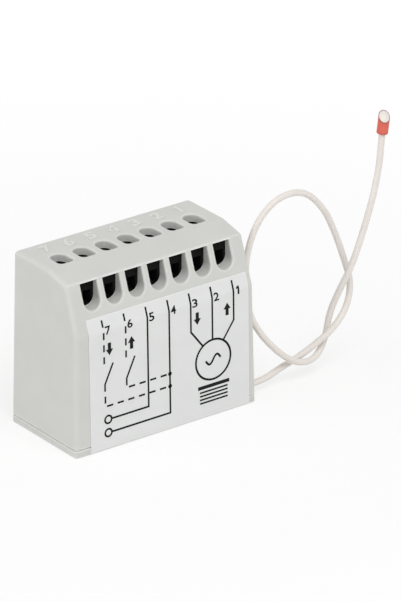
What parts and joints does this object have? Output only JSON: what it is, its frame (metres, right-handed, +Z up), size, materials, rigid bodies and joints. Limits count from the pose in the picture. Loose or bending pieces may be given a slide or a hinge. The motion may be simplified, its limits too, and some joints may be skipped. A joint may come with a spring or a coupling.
{
  "type": "roller shade controller",
  "caption": "Flush-box radio receiver for a roller shade motor: leaning two-part plastic case, row of screw terminals under a sloped brow, and a free aerial wire.",
  "frame": {"origin": "middle of the bottom face, without the free aerial wire", "axes": "+Z up from the base cover to the roof with the screw holes, +Y from the labelled front to the flat back, +X to the side where the aerial wire leaves"},
  "size_m": [0.0761, 0.0206, 0.0482],
  "materials": {
    "housing_plastic": "moulded satin off-white",
    "base_plastic": "moulded satin off-white",
    "label_film": "matt white film with black line drawing",
    "black_plastic": "matt black",
    "plated_brass": "nickel-plated",
    "plated_steel": "zinc-plated",
    "plated_iron": "nickel-plated",
    "board_green": "solder mask, satin",
    "relay_plastic": "moulded satin dark blue",
    "coil_copper": "enamelled copper winding",
    "capacitor_plastic": "moulded ochre",
    "can_sleeve": "shrunk film sleeve",
    "disc_coating": "dipped epoxy",
    "resistor_coating": "lacquered",
    "ferrite": "sintered",
    "chip_plastic": "moulded matt black",
    "button_plastic": "moulded grey",
    "lamp_clear": "milky clear",
    "wire_insulation": "extruded cream white",
    "tip_sleeve": "orange-red"
  },
  "bodies": {
    "housing": {"housing_shell": "housing_plastic", "base_cover": "base_plastic", "wiring_label": "label_film", "terminal_block": "black_plastic", "clamp_cages": "plated_brass", "main_board": "board_green", "relay_up_case": "relay_plastic", "relay_down_case": "relay_plastic", "relay_up_base": "black_plastic", "relay_down_base": "black_plastic", "relay_up_coil": "coil_copper", "relay_down_coil": "coil_copper", "relay_up_yoke": "plated_iron", "relay_down_yoke": "plated_iron", "relay_up_contact": "plated_brass", "relay_down_contact": "plated_brass", "mains_filter_capacitor": "capacitor_plastic", "smoothing_capacitor": "can_sleeve", "surge_varistor": "disc_coating", "fusible_resistor": "resistor_coating", "supply_choke": "ferrite", "bridge_rectifier": "chip_plastic", "microcontroller": "chip_plastic", "supply_regulator": "chip_plastic", "relay_drivers": "chip_plastic", "radio_chip": "chip_plastic", "radio_board": "board_green", "radio_header": "black_plastic", "radio_crystal": "plated_iron", "pairing_switch": "black_plastic", "status_lamp": "lamp_clear", "light_pipe": "lamp_clear", "antenna_wire": "wire_insulation", "antenna_tail": "wire_insulation", "antenna_tip_sleeve": "tip_sleeve"},
    "clamp_7": {"clamp_plate_7": "plated_steel"},
    "screw_7": {"terminal_screw_7": "plated_steel"},
    "clamp_6": {"clamp_plate_6": "plated_steel"},
    "screw_6": {"terminal_screw_6": "plated_steel"},
    "clamp_5": {"clamp_plate_5": "plated_steel"},
    "screw_5": {"terminal_screw_5": "plated_steel"},
    "clamp_4": {"clamp_plate_4": "plated_steel"},
    "screw_4": {"terminal_screw_4": "plated_steel"},
    "clamp_3": {"clamp_plate_3": "plated_steel"},
    "screw_3": {"terminal_screw_3": "plated_steel"},
    "clamp_2": {"clamp_plate_2": "plated_steel"},
    "screw_2": {"terminal_screw_2": "plated_steel"},
    "clamp_1": {"clamp_plate_1": "plated_steel"},
    "screw_1": {"terminal_screw_1": "plated_steel"},
    "button": {"pairing_button": "button_plastic"},
    "armature_up": {"relay_up_armature": "plated_iron"},
    "armature_down": {"relay_down_armature": "plated_iron"}
  },
  "joints": [
    {"name": "clamp_slide_7", "type": "slide", "parent": "housing", "child": "clamp_7", "axis": [0, 0, 1], "range_m": [0, 0.0021]},
    {"name": "screw_turn_7", "type": "hinge", "parent": "clamp_7", "child": "screw_7", "pos_m": [-0.015, 0.00175, 0.031], "axis": [0, 0, 1], "range_deg": [0, 1681]},
    {"name": "clamp_slide_6", "type": "slide", "parent": "housing", "child": "clamp_6", "axis": [0, 0, 1], "range_m": [0, 0.0021]},
    {"name": "screw_turn_6", "type": "hinge", "parent": "clamp_6", "child": "screw_6", "pos_m": [-0.01, 0.00175, 0.031], "axis": [0, 0, 1], "range_deg": [0, 1681]},
    {"name": "clamp_slide_5", "type": "slide", "parent": "housing", "child": "clamp_5", "axis": [0, 0, 1], "range_m": [0, 0.0021]},
    {"name": "screw_turn_5", "type": "hinge", "parent": "clamp_5", "child": "screw_5", "pos_m": [-0.005, 0.00175, 0.031], "axis": [0, 0, 1], "range_deg": [0, 1681]},
    {"name": "clamp_slide_4", "type": "slide", "parent": "housing", "child": "clamp_4", "axis": [0, 0, 1], "range_m": [0, 0.0021]},
    {"name": "screw_turn_4", "type": "hinge", "parent": "clamp_4", "child": "screw_4", "pos_m": [0, 0.00175, 0.031], "axis": [0, 0, 1], "range_deg": [0, 1681]},
    {"name": "clamp_slide_3", "type": "slide", "parent": "housing", "child": "clamp_3", "axis": [0, 0, 1], "range_m": [0, 0.0021]},
    {"name": "screw_turn_3", "type": "hinge", "parent": "clamp_3", "child": "screw_3", "pos_m": [0.005, 0.00175, 0.031], "axis": [0, 0, 1], "range_deg": [0, 1681]},
    {"name": "clamp_slide_2", "type": "slide", "parent": "housing", "child": "clamp_2", "axis": [0, 0, 1], "range_m": [0, 0.0021]},
    {"name": "screw_turn_2", "type": "hinge", "parent": "clamp_2", "child": "screw_2", "pos_m": [0.01, 0.00175, 0.031], "axis": [0, 0, 1], "range_deg": [0, 1681]},
    {"name": "clamp_slide_1", "type": "slide", "parent": "housing", "child": "clamp_1", "axis": [0, 0, 1], "range_m": [0, 0.0021]},
    {"name": "screw_turn_1", "type": "hinge", "parent": "clamp_1", "child": "screw_1", "pos_m": [0.015, 0.00175, 0.031], "axis": [0, 0, 1], "range_deg": [0, 1681]},
    {"name": "pairing_press", "type": "slide", "parent": "housing", "child": "button", "axis": [0, -1, 0], "range_m": [0, 0.00025], "stiffness_N_per_m": 4000, "springref_m": -0.00005},
    {"name": "relay_up_pull", "type": "hinge", "parent": "housing", "child": "armature_up", "pos_m": [-0.01275, -0.0054, 0.0048], "axis": [-1, 0, 0], "range_deg": [0, 3], "stiffness_Nm_per_rad": 0.02, "springref_deg": -1.15},
    {"name": "relay_down_pull", "type": "hinge", "parent": "housing", "child": "armature_down", "pos_m": [-0.00235, -0.0054, 0.0048], "axis": [-1, 0, 0], "range_deg": [0, 3], "stiffness_Nm_per_rad": 0.02, "springref_deg": -1.15}
  ],
  "couplings": [
    {"joint": "screw_turn_7", "follows": "clamp_slide_7", "rad_per_m": 13963},
    {"joint": "screw_turn_6", "follows": "clamp_slide_6", "rad_per_m": 13963},
    {"joint": "screw_turn_5", "follows": "clamp_slide_5", "rad_per_m": 13963},
    {"joint": "screw_turn_4", "follows": "clamp_slide_4", "rad_per_m": 13963},
    {"joint": "screw_turn_3", "follows": "clamp_slide_3", "rad_per_m": 13963},
    {"joint": "screw_turn_2", "follows": "clamp_slide_2", "rad_per_m": 13963},
    {"joint": "screw_turn_1", "follows": "clamp_slide_1", "rad_per_m": 13963}
  ]
}
